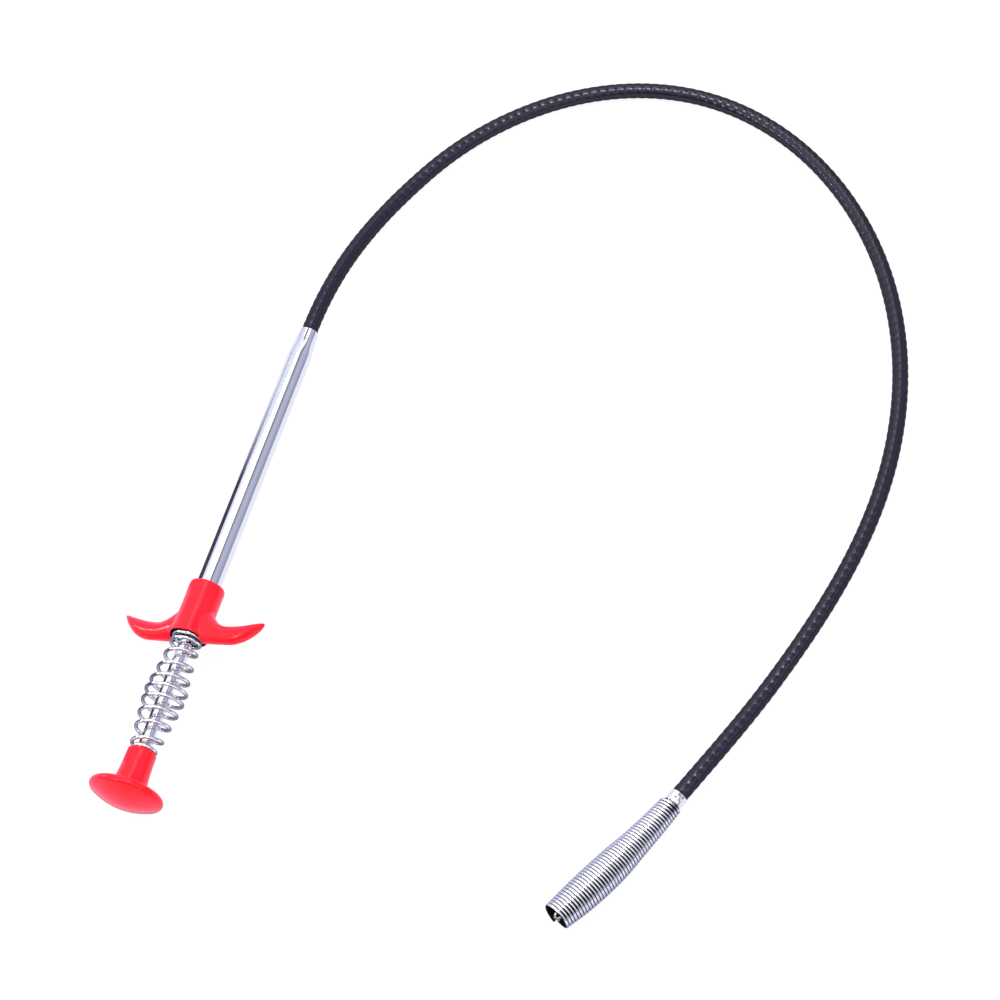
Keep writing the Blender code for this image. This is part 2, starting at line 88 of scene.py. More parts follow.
# Handle: its place, read from the frame, and stations along its axis
TUBE_LOW, TUBE_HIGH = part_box("handle_tube")
TUBE_REAR = 5.0 * MM
HANDLE_X = TUBE_LOW.x - TUBE_REAR
HANDLE_Y = (TUBE_HIGH.y + TUBE_LOW.y) / 2
AXIS_HEIGHT = (TUBE_HIGH.z + TUBE_LOW.z) / 2
TUBE_FRONT = TUBE_HIGH.x - HANDLE_X
TUBE_RADIUS = (TUBE_HIGH.z - TUBE_LOW.z) / 2
TUBE_BORE = 4.15 * MM
SWAGE_REAR, SWAGE_FRONT = 130.5 * MM, 139.5 * MM
SWAGE_RADIUS, SWAGE_BORE = 3.85 * MM, 3.45 * MM
ROLL = math.radians(24.5)  # of the grip and tube round their axis
PUNCH_SIZE = 0.55 * MM  # of the punch marks in the tube and in the ferrule
# The tube's punch marks: their depth, and the size of the painted shade in them
TUBE_PUNCH_DEPTH, TUBE_PIT_SHADE = 0.3 * MM, 0.55 * MM

# Thumb knob and plunger
KNOB_RADIUS = AXIS_HEIGHT
KNOB_NECK_FRONT = -46.0 * MM
KNOB_NECK_RADIUS, KNOB_FLARE = 5.5 * MM, 1.3 * MM
KNOB_RIM, KNOB_RIM_ROUND = -63.1 * MM, 1.6 * MM
KNOB_BACK = -68.2 * MM
PLUNGER_REAR, PLUNGER_FRONT = -56.5 * MM, 24.0 * MM
PLUNGER_RADIUS, PLUNGER_BORE = 2.65 * MM, 1.75 * MM
CRIMP_REAR, CRIMP_FRONT = 13.7 * MM, 23.7 * MM
BUSH_REAR, BUSH_FRONT = 3.2 * MM, 16.7 * MM
BUSH_FLANGE, BUSH_FLANGE_RADIUS = 1.5 * MM, 4.4 * MM

# Finger grip
GRIP_REAR, GRIP_FRONT = 2.0 * MM, 24.3 * MM
GRIP_MOUTH_RADIUS, GRIP_NECK_RADIUS = 7.7 * MM, 6.9 * MM
GRIP_NECK_START = 13.0 * MM
RECESS_RADIUS, RECESS_FLOOR = 6.9 * MM, 3.5 * MM
WING_REACH = 31.8 * MM
WING_REAR, WING_FRONT = 0.2 * MM, 7.5 * MM
WING_HALF_THICKNESS = 2.9 * MM
WING_ROOT, WING_ROOT_SWELL, WING_ROOT_THICKEN = 15.5 * MM, 18.0 * MM, 2.1 * MM
WING_CORE = 5.0 * MM  # within this distance of the axis the section stays the same
WING_SWEEP_START = 17.5 * MM
WING_FRONT_SWEEP, WING_REAR_SWEEP = 2.6 * MM, 9.1 * MM
WING_TIP_ROUND = 8.0 * MM

# Return spring, from front to rear: its wire's radius, its turns and its outer radii
SPRING_WIRE = 0.72 * MM
SPRING_PITCHES = np.array((1.4, 2.8, 5.8, 5.8, 5.2, 4.1, 4.5, 5.3, 5.4, 6.2, 1.4)) * MM
SPRING_RADII = np.array((5.95, 6.0, 6.3, 7.1, 8.15, 7.95, 7.05, 6.05, 4.85)) * MM

# Sheath and cable
SHEATH_START = 144.5 * MM
SHEATH_RADIUS = 3.25 * MM
SHEATH_BORE = 2.8 * MM
SHEATH_LENGTH = 605.0 * MM
SHEATH_HIDDEN = 14.0 * MM  # the length inside the handle tube
SHEATH_DROP = 95.0 * MM  # the length over which it comes down to the floor
SHEATH_RISE = 60.0 * MM  # the length over which it rises to the tip
BEND_RATES = (3.0, 5.7, 7.7, 12.3, 7.5, 5.5, 4.6, 1.8, 0.7)  # radians per metre, at even stations
SPIRAL_PITCH = 3.8 * MM
SPIRAL_RADIUS = 1.95 * MM
SPIRAL_WIRE = 0.45 * MM
RIB_DEPTH = 0.15 * MM
CABLE_RADIUS = 0.75 * MM
CABLE_BORE = 1.05 * MM
CABLE_REAR = -20.0 * MM
STRAND_LAY = 9.0 * MM

# Tip, bowed round by a small turn, with outer radii at even stations along its spring
TIP_LENGTH = 65.5 * MM
TIP_HEIGHT = 6.65 * MM
TIP_TURN = math.radians(9.0)
FERRULE_RADIUS = 3.55 * MM
FERRULE_SLEEVE = 4.5 * MM
FERRULE_LENGTH = 13.0 * MM
# The ferrule's punch marks: their depth, and the size of the painted shade in them
FERRULE_PUNCH_DEPTH, FERRULE_PIT_SHADE = 0.25 * MM, 0.32 * MM
SPIGOT_RADIUS = 2.6 * MM
TIP_WIRE = 0.63 * MM
TIP_PITCH = 1.3 * MM
TIP_RADII = np.array((4.45, 4.95, 5.55, 6.4, 6.62, 6.4, 5.7)) * MM
# Extra darkening of the tip's spring: a band along it, round an angle, and its first coils
TIP_BAND_AT, TIP_BAND_SPREAD, TIP_BAND_DARKENING = math.radians(60), math.radians(26), 0.46
TIP_FIRST_COILS, TIP_FIRST_DARKENING = 3.5 * MM, 0.22
# Claw, with stations along its own line of travel
CLAW_COUNT = 4
CLAW_WIRE = 0.55 * MM
CLAW_PIVOT = 42.5 * MM
STEM_REAR, STEM_FRONT, STEM_RADIUS = 15.5 * MM, 41.7 * MM, 1.85 * MM
COLLAR_REAR, COLLAR_FRONT, COLLAR_RADIUS = 36.5 * MM, 43.3 * MM, 2.9 * MM

# Camera: azimuth and elevation in degrees, lens and sensor in millimetres
CAMERA_TARGET = Vector((-0.02349, 0.01182, 0.0))
CAMERA_DISTANCE = 0.9766
CAMERA_AZIMUTH, CAMERA_ELEVATION = -73.45, 61.0
CAMERA_LENS, CAMERA_SENSOR = 90.0, 36.0

# Studio surroundings: what lies each way across the handle, by the y of the direction
SKY_COLOURS = (
    (-0.92, (0.46, 0.48, 0.64)), (-0.84, (0.42, 0.43, 0.60)), (-0.75, (0.48, 0.50, 0.68)),
    (-0.63, (0.54, 0.55, 0.72)), (-0.48, (0.52, 0.53, 0.68)), (-0.33, (0.44, 0.44, 0.57)),
    (-0.26, (0.22, 0.22, 0.30)), (-0.16, (0.15, 0.15, 0.21)), (-0.08, (1.15, 1.15, 1.16)),
    (0.66, (1.2, 1.2, 1.2)), (0.76, (0.90, 0.94, 1.12)), (0.86, (0.74, 0.78, 0.95)),
    (0.95, (0.62, 0.66, 0.84)),
)
# The white overhead softbox starts between two y of the direction and ends between two x
SOFTBOX_WHITE = (1.15, 1.15, 1.16)
SOFTBOX_START, SOFTBOX_END = (-0.92, -0.72), (0.16, 0.32)
# The dim rear clears between two x of the direction, and the dim low stretch between two z
REAR_CLEARS, REAR_LEVEL = (-0.85, -0.50), 0.06
LOW_CLEARS, LOW_LEVEL = (0.0, 0.24), 0.45
BACKDROP = (0.97, 0.97, 0.975)
# The floor: its colours when seen and when reflected, and the share of them that is an even glow
FLOOR_SEEN, FLOOR_REFLECTED, FLOOR_GLOW = (1.06, 1.06, 1.06), (0.86, 0.87, 1.0), 0.86
FLOOR_HALF, FLOOR_DROP = 4.0, 0.2 * MM
# Cards beside the handle: how far aside, dark flags as (rear, front, lift of the front's lower edge)
# that fade between two stations, and a pale one above them
CARDS_ASIDE = 18 * MM
FLAG_TOP = 23 * MM
FLAG_SPANS = ((-46 * MM, -3 * MM, 0.0), (26 * MM, 130 * MM, 10 * MM))
FLAG_FADE = (78 * MM, 122 * MM)
PALE_REAR, PALE_FRONT, PALE_TOP = 72 * MM, 190 * MM, 75 * MM
# Lamps as (name, place, aim, size, power, shown in reflections)
LAMPS = (
    ("key", (-0.25, 0.45, 1.5), (0.0, 0.0, 0.0), (1.2, 1.2), 11.0, False),
    ("fill", (0.2, -1.1, 1.2), (0.0, 0.0, 0.0), (1.0, 0.8), 4.0, False),
    ("softbox", (0.10, -0.05, 1.4), (0.1, 0.0, 0.0), (0.36, 0.36), 6.5, True),
    ("front_box", (0.68, 0.30, 1.4), (0.1, 0.0, 0.0), (0.40, 0.50), 1.5, True),
    ("side_box", (-0.85, 0.67, 0.82), (0.1, 0.0, 0.0), (0.3, 0.3), 3.2, True),
    ("grip_light", (-0.094, 0.565, 0.20), (-0.119, 0.104, 0.02), (0.08, 0.08), 0.5, True),
)


# ---------------------------------------------------------------- mesh tools

def skin(rings, looped=False):
    """A closed mesh through an array of rings (count, sides, 3), capped or joined end to start."""
    rings = np.asarray(rings, float)
    count, sides = rings.shape[:2]
    index = np.arange(count * sides).reshape(count, sides)
    near = index if looped else index[:-1]
    far = np.roll(index, -1, axis=0) if looped else index[1:]
    quads = np.stack([near, np.roll(near, -1, axis=1), np.roll(far, -1, axis=1), far], axis=-1)
    faces = quads.reshape(-1, 4).tolist()
    if not looped:
        faces += [index[0, ::-1].tolist(), index[-1].tolist()]
    mesh = bpy.data.meshes.new("skin")
    mesh.from_pydata(rings.reshape(-1, 3).tolist(), [], faces)
    shell = bmesh.new()
    shell.from_mesh(mesh)
    if shell.calc_volume(signed=True) < 0:
        bmesh.ops.reverse_faces(shell, faces=shell.faces)
    shell.to_mesh(mesh)
    shell.free()
    return mesh


def ring_angles(sides):
    """Evenly spaced angles round one turn."""
    return 2 * math.pi * np.arange(sides) / sides


def turned(outline, sides, looped=False, dent=None):
    """A body turned about X from (station, radius) points. dent(x, angle, r) gives new radii."""
    outline = np.array(outline, float)
    angle = ring_angles(sides)[None, :]
    x = np.repeat(outline[:, :1], sides, axis=1)
    r = np.repeat(outline[:, 1:], sides, axis=1)
    if dent is not None:
        r = dent(x, np.broadcast_to(angle, x.shape), r)
    return skin(np.stack([x, r * np.cos(angle), r * np.sin(angle)], axis=-1), looped)


def arc(centre, radius, start, end, steps):
    """(station, radius) points on an arc, angles in degrees from +station."""
    angles = np.radians(np.linspace(start, end, steps + 1))
    return [(centre[0] + radius * math.cos(a), centre[1] + radius * math.sin(a)) for a in angles]


def smooth_between(a, b, c, d, t):
    """The Catmull-Rom value at t from 0 to 1 between b and c, whose neighbours are a and d."""
    return b + 0.5 * t * (c - a + t * (2 * a - 5 * b + 4 * c - d + t * (3 * (b - c) + d - a)))


def through(points, steps):
    """A smooth line of points through the given ones."""
    points = [np.array(p, float) for p in points]
    padded = [2 * points[0] - points[1], *points, 2 * points[-1] - points[-2]]
    line = []
    for a, b, c, d in zip(padded, padded[1:], padded[2:], padded[3:]):
        line += [smooth_between(a, b, c, d, t) for t in np.arange(steps) / steps]
    return [tuple(p) for p in line] + [tuple(points[-1])]


def spaced_value(values, u):
    """Smooth values at u from 0 to 1 through evenly spaced ones."""
    last = len(values) - 1
    u = np.clip(np.asarray(u, float), 0, 1) * last
    i = np.minimum(u.astype(int), last - 1)
    before, after = values[np.maximum(i - 1, 0)], values[np.minimum(i + 2, last)]
    return smooth_between(before, values[i], values[i + 1], after, u - i)


def unit(v):
    """Vectors of length one along the last axis."""
    return v / np.linalg.norm(v, axis=-1, keepdims=True)


def spokes(sides, across, upright):
    """Unit vectors round a line, (count, sides, 3), from its two cross directions at each point."""
    angle = ring_angles(sides)[None, :, None]
    return np.cos(angle) * across[:, None] + np.sin(angle) * upright[:, None]


def tube_rings(line, radius, sides, upward):
    """Rings round a wire's line of points (count, 3), with half-round ends."""
    along = unit(np.gradient(line, axis=0))
    across = unit(np.cross(upward, along))
    upright = np.cross(along, across)
    steps = 4
    turn = np.radians(np.linspace(82, 0, steps, endpoint=False))
    first = line[0] - np.outer(radius * np.sin(turn), along[0])
    last = (line[-1] + np.outer(radius * np.sin(turn), along[-1]))[::-1]
    easing = radius * np.cos(turn)
    radii = np.concatenate([easing, np.full(len(line), radius), easing[::-1]])[:, None, None]
    line = np.vstack([first, line, last])
    across, upright = (np.pad(v, ((steps, steps), (0, 0)), mode="edge") for v in (across, upright))
    return line[:, None] + radii * spokes(sides, across, upright)


def coil_line(centre_line, radius, turns, steps):
    """Points along a coil round centre_line(u), which gives arrays (point, along, across, upward)."""
    u = np.linspace(0, 1, round(turns * steps) + 1)
    point, along, across, upward = centre_line(u)
    angle = (2 * math.pi * turns * u)[:, None]
    outward = np.cos(angle) * across + np.sin(angle) * upward
    return point + radius(u)[:, None] * outward, outward


# ---------------------------------------------------------------- where things run

def handle_place():
    """The handle's axis, rolled with its grip."""
    return Matrix.Translation((HANDLE_X, HANDLE_Y, AXIS_HEIGHT)) @ Matrix.Rotation(-ROLL, 4, "X")


def smooth_step(u):
    """0 below 0, 1 above 1, and a smooth rise between."""
    u = np.clip(u, 0, 1)
    return u * u * (3 - 2 * u)


def sheath_plan():
    """The sheath seen from above: x, y and heading for each millimetre of its length."""
    count = round(SHEATH_LENGTH / MM)
    middle = (np.arange(count) + 0.5) / count
    stations = np.linspace(0, 1, len(BEND_RATES))
    turn = np.interp(middle, stations, BEND_RATES) * MM
    end_heading = -np.cumsum(turn)
    step_heading = end_heading + turn / 2
    x = HANDLE_X + SHEATH_START + np.concatenate([[0], np.cumsum(np.cos(step_heading))]) * MM
    y = HANDLE_Y + np.concatenate([[0], np.cumsum(np.sin(step_heading))]) * MM
    return x, y, np.concatenate([[0], end_heading])


PLAN_X, PLAN_Y, PLAN_HEADING = sheath_plan()


def sheath_points(s):
    """The sheath's centre at lengths from its start, straight on beyond either end."""
    s = np.asarray(s, float)
    held = np.clip(s, 0, SHEATH_LENGTH)
    knots = np.arange(len(PLAN_X)) * MM
    heading = np.interp(held, knots, PLAN_HEADING)
    x = np.interp(held, knots, PLAN_X) + (s - held) * np.cos(heading)
    y = np.interp(held, knots, PLAN_Y) + (s - held) * np.sin(heading)
    down = (AXIS_HEIGHT - SHEATH_RADIUS) * (1 - smooth_step(s / SHEATH_DROP))
    lift = (TIP_HEIGHT - SHEATH_RADIUS) * smooth_step((s - SHEATH_LENGTH + SHEATH_RISE) / SHEATH_RISE)
    return np.stack([x, y, SHEATH_RADIUS + down + lift], axis=-1)


def sheath_frames(s):
    """Arrays (point, along, across, upward) along the sheath."""
    along = unit(sheath_points(s + 0.5 * MM) - sheath_points(s - 0.5 * MM))
    across = unit(np.cross((0, 0, 1), along))
    return sheath_points(s), along, across, np.cross(along, across)


def tip_place():
    """The tip's frame: origin at the ferrule's rear face, +X outward."""
    origin = Vector(sheath_points([SHEATH_LENGTH])[0])
    return Matrix.Translation(origin) @ Matrix.Rotation(PLAN_HEADING[-1], 4, "Z")


def tip_frames(t):
    """Arrays (point, along, across, upward) along the tip's bowed centre line, in its own frame."""
    t = np.asarray(t, float)
    radius = TIP_LENGTH / TIP_TURN
    angle = t / radius
    flat = np.zeros_like(angle)
    point = np.stack([radius * np.sin(angle), -radius * (1 - np.cos(angle)), flat], axis=-1)
    along = np.stack([np.cos(angle), -np.sin(angle), flat], axis=-1)
    upward = np.broadcast_to((0.0, 0.0, 1.0), along.shape)
    return point, along, np.cross(upward, along), upward


def claw_place():
    """The claw's straight line of travel, from the frame's slide axis and a hinge pivot."""
    along = Vector(JOINTS["claw_slide"]["axis"]).normalized()
    pivots = [Vector(JOINTS[f"claw_{n}_spread"]["pos_m"]) for n in range(1, CLAW_COUNT + 1)]
    centre = sum(pivots, Vector()) / CLAW_COUNT
    turn = Matrix.Rotation(math.atan2(along.y, along.x), 4, "Z")
    return Matrix.Translation(centre - CLAW_PIVOT * along) @ turn


def moved(points, matrix):
    """Points (count, 3) taken through a 4x4 matrix."""
    m = np.array(matrix)
    return points @ m[:3, :3].T + m[:3, 3]


# ---------------------------------------------------------------- materials

class Nodes:
    """A tree of shader nodes, with short names for the nodes this script uses."""

    def __init__(self, tree):
        self.tree = tree

    def add(self, kind, **settings):
        """A new node with some of its properties set."""
        node = self.tree.nodes.new(kind)
        for key, value in settings.items():
            setattr(node, key, value)
        return node

    def set(self, node, socket, value):
        """A node's input given a value, or linked to another node's output."""
        if isinstance(value, bpy.types.NodeSocket):
            self.tree.links.new(value, node.inputs[socket])
        else:
            node.inputs[socket].default_value = value
        return node

    def combined(self, operation, first, second):
        """One value worked out from two."""
        node = self.add("ShaderNodeMath", operation=operation)
        self.set(node, 0, first)
        self.set(node, 1, second)
        return node.outputs[0]

    def ramp(self, value, low, high, out_low, out_high):
        """value from low..high turned into out_low..out_high, clamped."""
        node = self.add("ShaderNodeMapRange")
        limits = {"From Min": low, "From Max": high, "To Min": out_low, "To Max": out_high}
        for socket, number in limits.items():
            self.set(node, socket, number)
        self.set(node, "Value", value)
        return node.outputs["Result"]

    def mixed(self, share, first, second, blend="MIX"):
        """Two colours blended by a share from 0 to 1."""
        node = self.add("ShaderNodeMix", data_type="RGBA", blend_type=blend)
        self.set(node, 0, share)
        for socket, colour in ((6, first), (7, second)):
            is_output = isinstance(colour, bpy.types.NodeSocket)
            self.set(node, socket, colour if is_output else (*colour, 1.0))
        return node.outputs[2]


class Look(Nodes):
    """A material built on one Principled shader."""

    def __init__(self, name, colour, roughness, metallic=0.0):
        self.material = bpy.data.materials.new(name)
        self.material.use_nodes = True
        super().__init__(self.material.node_tree)
        self.shader = self.tree.nodes["Principled BSDF"]
        self.set(self.shader, "Base Color", (*colour, 1.0))
        self.set(self.shader, "Roughness", roughness)
        self.set(self.shader, "Metallic", metallic)
        self.place = self.add("ShaderNodeTexCoord").outputs["Object"]

    def noise(self, size, detail=3.0, stretch=(1, 1, 1)):
        """Soft noise from 0 to 1 with features of a size in metres."""
        mapping = self.add("ShaderNodeMapping")
        self.set(mapping, "Vector", self.place)
        self.set(mapping, "Scale", stretch)
        node = self.add("ShaderNodeTexNoise")
        self.set(node, "Vector", mapping.outputs["Vector"])
        self.set(node, "Scale", 1.0 / size)
        self.set(node, "Detail", detail)
        return node.outputs["Fac"]

    def rim(self, colour, start, end, most=1.0):
        """A colour painted where the surface is seen edge-on, between two facing values, for painted edge
        shade and sheen.
        """
        facing = self.add("ShaderNodeLayerWeight").outputs["Facing"]
        dull = self.add("ShaderNodeBsdfDiffuse")
        self.set(dull, "Color", (*colour, 1.0))
        self.over(self.ramp(facing, start, end, 0.0, most), dull.outputs[0])

    def over(self, share, shader):
        """Another shader laid over what is there, by a share from 0 to 1."""
        surface = self.tree.nodes["Material Output"].inputs["Surface"]
        blend = self.add("ShaderNodeMixShader")
        self.set(blend, 0, share)
        self.set(blend, 1, surface.links[0].from_socket)
        self.set(blend, 2, shader)
        self.tree.links.new(blend.outputs[0], surface)

    def dark_patches(self, start, end):
        """Black painted in patches between two of the mesh's values of how far inside a point lies,
        mostly painted shade.
        """
        black = self.add("ShaderNodeBsdfDiffuse")
        self.set(black, "Color", (0.010, 0.009, 0.012, 1.0))
        inside = self.add("ShaderNodeAttribute", attribute_name=INSIDE).outputs["Fac"]
        uneven = self.ramp(self.noise(1.5 * MM, 3.0), 0.3, 0.7, -0.08, 0.08)
        patch = self.combined("ADD", inside, uneven)
        self.over(self.ramp(patch, start, end, 0.0, 1.0), black.outputs[0])

    def bump(self, height, strength, depth):
        """A surface bump from a height value; depth in metres."""
        node = self.add("ShaderNodeBump")
        self.set(node, "Height", height)
        self.set(node, "Strength", strength)
        self.set(node, "Distance", depth)
        last = self.shader.inputs["Normal"]
        if last.is_linked:
            self.set(node, "Normal", last.links[0].from_socket)
        self.set(self.shader, "Normal", node.outputs["Normal"])


def red_plastic():
    """Moulded red plastic: soft gloss, a faint orange-peel skin and pale scuffs, with a painted pink
    sheen and painted dark outlines where seen edge-on, and painted shade in recesses.
    """
    m = Look("red_plastic_moulded", (0.86, 0.009, 0.019), 0.28)
    m.set(m.shader, "Specular Tint", (1.0, 0.84, 1.0, 1.0))
    m.set(m.shader, "Specular IOR Level", 0.25)
    cloud = m.noise(14 * MM, 2.0)
    body = m.mixed(cloud, (0.85, 0.007, 0.014), (0.89, 0.011, 0.022))
    scuff = m.ramp(m.noise(1.8 * MM, 7.0), 0.62, 0.78, 0.0, 0.5)
    m.set(m.shader, "Base Color", m.mixed(scuff, body, (0.80, 0.05, 0.06)))
    m.set(m.shader, "Roughness", m.ramp(m.noise(3 * MM, 5.0), 0.3, 0.7, 0.16, 0.24))
    m.bump(m.noise(0.35 * MM, 3.0), 0.03, 0.02 * MM)
    m.bump(m.noise(5 * MM, 2.0), 0.08, 0.15 * MM)
    # a painted pink sheen towards the edges seen edge-on
    m.rim((0.90, 0.18, 0.62), 0.30, 0.75, 0.09)
    # painted shade along the outlines, where the surface is seen edge-on
    m.rim((0.30, 0.002, 0.010), 0.80, 0.98)
    # painted shade where the mesh marks a recess, such as the grip's spring recess
    m.dark_patches(0.3, 0.9)
    return m.material


def black_vinyl():
    """Extruded vinyl: near black with a satin skin, scuffed rib crests and painted shade where seen
    edge-on.
    """
    m = Look("black_vinyl_jacket", (0.011, 0.0095, 0.016), 0.3)
    scuff = m.ramp(m.noise(1.6 * MM, 6.0), 0.55, 0.78, 0.0, 1.0)
    m.set(m.shader, "Base Color", m.mixed(scuff, (0.011, 0.0095, 0.016), (0.026, 0.023, 0.034)))
    m.set(m.shader, "Roughness", m.ramp(m.noise(2.5 * MM, 5.0), 0.3, 0.7, 0.13, 0.22))
    m.set(m.shader, "Specular IOR Level", 0.48)
    m.set(m.shader, "Specular Tint", (0.80, 0.76, 1.0, 1.0))
    m.bump(m.noise(0.5 * MM, 4.0), 0.10, 0.03 * MM)
    m.bump(m.noise(2.2 * MM, 2.0), 0.25, 0.08 * MM)
    # painted shade where the surface is seen edge-on, in place of its pale edge reflections
    m.rim((0.014, 0.0125, 0.0215), 0.12, 0.50, 0.8)
    return m.material


def black_nylon():
    """Moulded nylon, dull black."""
    m = Look("black_nylon_moulded", (0.014, 0.014, 0.016), 0.5)
    m.set(m.shader, "Roughness", m.ramp(m.noise(1.5 * MM, 4.0), 0.3, 0.7, 0.42, 0.6))
    m.bump(m.noise(0.3 * MM, 3.0), 0.2, 0.03 * MM)
    return m.material


def chrome():
    """Bright chrome over drawn tube: faint lengthwise draw lines, smudges, and painted shade in punch
    marks.
    """
    m = Look("bright_chrome", (0.83, 0.84, 0.87), 0.08, 1.0)
    smudge = m.noise(9 * MM, 4.0)
    m.set(m.shader, "Base Color", m.mixed(smudge, (0.80, 0.81, 0.85), (0.88, 0.885, 0.90)))
    m.set(m.shader, "Roughness", m.ramp(smudge, 0.35, 0.7, 0.05, 0.13))
    m.bump(m.noise(0.6 * MM, 2.0, (0.03, 1, 1)), 0.05, 0.02 * MM)
    # painted shade in the punch marks, where the mesh marks them
    m.dark_patches(0.40, 0.75)
    return m.material


def spring_wire(name, edge):
    """Nickel-plated spring wire: bright, with fine draw marks and dark specks, painted dark edges
    where seen edge-on, and painted shade where its mesh marks it.
    """
    m = Look(name, (0.88, 0.89, 0.92), 0.14, 1.0)
    speck = m.ramp(m.noise(0.8 * MM, 5.0), 0.60, 0.72, 0.0, 1.0)
    m.set(m.shader, "Base Color", m.mixed(speck, (0.90, 0.91, 0.94), (0.60, 0.61, 0.66)))
    m.set(m.shader, "Roughness", m.ramp(m.noise(2 * MM, 4.0), 0.3, 0.7, 0.08, 0.18))
    m.bump(m.noise(0.25 * MM, 3.0), 0.10, 0.02 * MM)
    # painted dark edges, in the given colour, where the wire is seen edge-on
    m.rim(edge, 0.30, 0.58, 0.85)
    # painted shade where the mesh marks it, as between the tip's coils
    m.dark_patches(0.42, 0.76)
    return m.material


def plain_steel():
    """Bare drawn steel under a patchy film of oil."""
    m = Look("plain_drawn_steel", (0.46, 0.46, 0.48), 0.36, 1.0)
    oil = m.ramp(m.noise(3 * MM, 4.0), 0.45, 0.7, 0.0, 1.0)
    m.set(m.shader, "Base Color", m.mixed(oil, (0.50, 0.50, 0.52), (0.33, 0.32, 0.32)))
    m.set(m.shader, "Roughness", m.ramp(m.noise(1 * MM, 4.0), 0.3, 0.7, 0.26, 0.44))
    m.bump(m.noise(0.2 * MM, 3.0), 0.2, 0.02 * MM)
    return m.material


def wire_rope():
    """Steel wire rope, grimed between its strands."""
    m = Look("wire_rope_strands", (0.42, 0.42, 0.43), 0.4, 1.0)
    dark_patches = m.ramp(m.noise(2 * MM, 5.0), 0.45, 0.65, 0.0, 1.0)
    m.set(m.shader, "Base Color", m.mixed(dark_patches, (0.48, 0.48, 0.49), (0.20, 0.19, 0.18)))
    m.set(m.shader, "Roughness", m.ramp(dark_patches, 0.0, 1.0, 0.30, 0.55))
    m.bump(m.noise(0.12 * MM, 2.0), 0.3, 0.02 * MM)
    return m.material


def brass():
    """Turned brass with patches of tarnish."""
    m = Look("turned_brass", (0.72, 0.52, 0.22), 0.28, 1.0)
    tarnish = m.ramp(m.noise(2 * MM, 5.0), 0.42, 0.7, 0.0, 1.0)
    m.set(m.shader, "Base Color", m.mixed(tarnish, (0.76, 0.56, 0.25), (0.48, 0.32, 0.14)))
    m.bump(m.noise(0.2 * MM, 2.0, (6, 1, 1)), 0.2, 0.02 * MM)
    return m.material


def claw_wire():
    """The claws' wire, dulled and darkened by use."""
    m = Look("worn_claw_wire", (0.30, 0.30, 0.32), 0.3, 1.0)
    oil = m.ramp(m.noise(1.5 * MM, 5.0), 0.40, 0.62, 0.0, 1.0)
    m.set(m.shader, "Base Color", m.mixed(oil, (0.60, 0.60, 0.63), (0.14, 0.14, 0.15)))
    m.set(m.shader, "Roughness", m.ramp(oil, 0.0, 1.0, 0.18, 0.4))
    m.bump(m.noise(0.2 * MM, 3.0), 0.15, 0.02 * MM)
    return m.material


LOOKS = {
    "red_plastic": red_plastic(),
    "chromed_tube": chrome(),
    "brass_crimp": brass(),
    # the colour is the painted dark edge of the wire seen edge-on
    "spring_wire": spring_wire("plated_spring_wire", (0.12, 0.12, 0.20)),
    "black_nylon": black_nylon(),
    "black_vinyl": black_vinyl(),
    "plain_steel": plain_steel(),
    "wire_rope": wire_rope(),
}
# the colour is the painted dark edge of the wire seen edge-on
TIP_LOOK = spring_wire("plated_tip_wire", (0.23, 0.23, 0.37))
CLAW_LOOK = claw_wire()
SLOTS = {part["node"]: part["material_slot"] for part in frame["record"]["subparts"]}


def linked(name, data):
    """A new object with its mesh or other data, put in the scene."""
    obj = bpy.data.objects.new(name, data)
    bpy.context.scene.collection.objects.link(obj)
    return obj


def show(node, mesh, place=None, look=None):
    """A fine piece that stands for a CAD node, on the same body and with the same material slot."""
    mesh.shade_smooth()
    mesh.set_sharp_from_angle(angle=SHARP_ANGLE)
    if place is not None:
        mesh.transform(place)
    mesh.materials.clear()
    mesh.materials.append(look or LOOKS[SLOTS[node]])
    obj = linked(f"{node}_fine", mesh)
    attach(obj, frame["nodes"][node]["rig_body"])
    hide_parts(node)
    return obj


# ---------------------------------------------------------------- handle

def thumb_knob():
    """A mushroom knob: a flared neck round a blind socket, and a cap domed behind."""
    socket, bottom = PLUNGER_RADIUS + 0.3 * MM, PLUNGER_REAR - 0.3 * MM
    corner, pole = 0.8 * MM, 0.3 * MM
    outline = [(bottom, pole), (bottom, socket), (KNOB_NECK_FRONT - pole, socket)]
    outline += [(KNOB_NECK_FRONT, socket + pole)]
    outline += arc((KNOB_NECK_FRONT - corner, KNOB_NECK_RADIUS - corner), corner, 0, 90, 6)
    cap_front = KNOB_RIM + KNOB_RIM_ROUND
    for t in np.linspace(0.1, 0.97, 24):
        station = KNOB_NECK_FRONT + (cap_front - KNOB_NECK_FRONT) * t
        outline.append((station, KNOB_NECK_RADIUS + KNOB_FLARE * t**2.5))
    root = KNOB_NECK_RADIUS + KNOB_FLARE
    fillet, set_in = 0.85 * MM, 0.75 * MM
    outline += arc((cap_front + set_in, root + fillet), fillet, 250, 190, 5)[1:]
    outline += [(cap_front - 0.05 * MM, root + 1.6 * MM), (cap_front, root + 3.0 * MM)]
    outline += arc((KNOB_RIM, KNOB_RADIUS - KNOB_RIM_ROUND), KNOB_RIM_ROUND, 5, 150, 20)
    edge_station, edge_radius = outline[-1]
    for t in np.linspace(0.97, pole / edge_radius, 34):
        outline.append((KNOB_BACK + (edge_station - KNOB_BACK) * t * t, edge_radius * t))
    return show("thumb_knob", turned(outline, 112), handle_place())


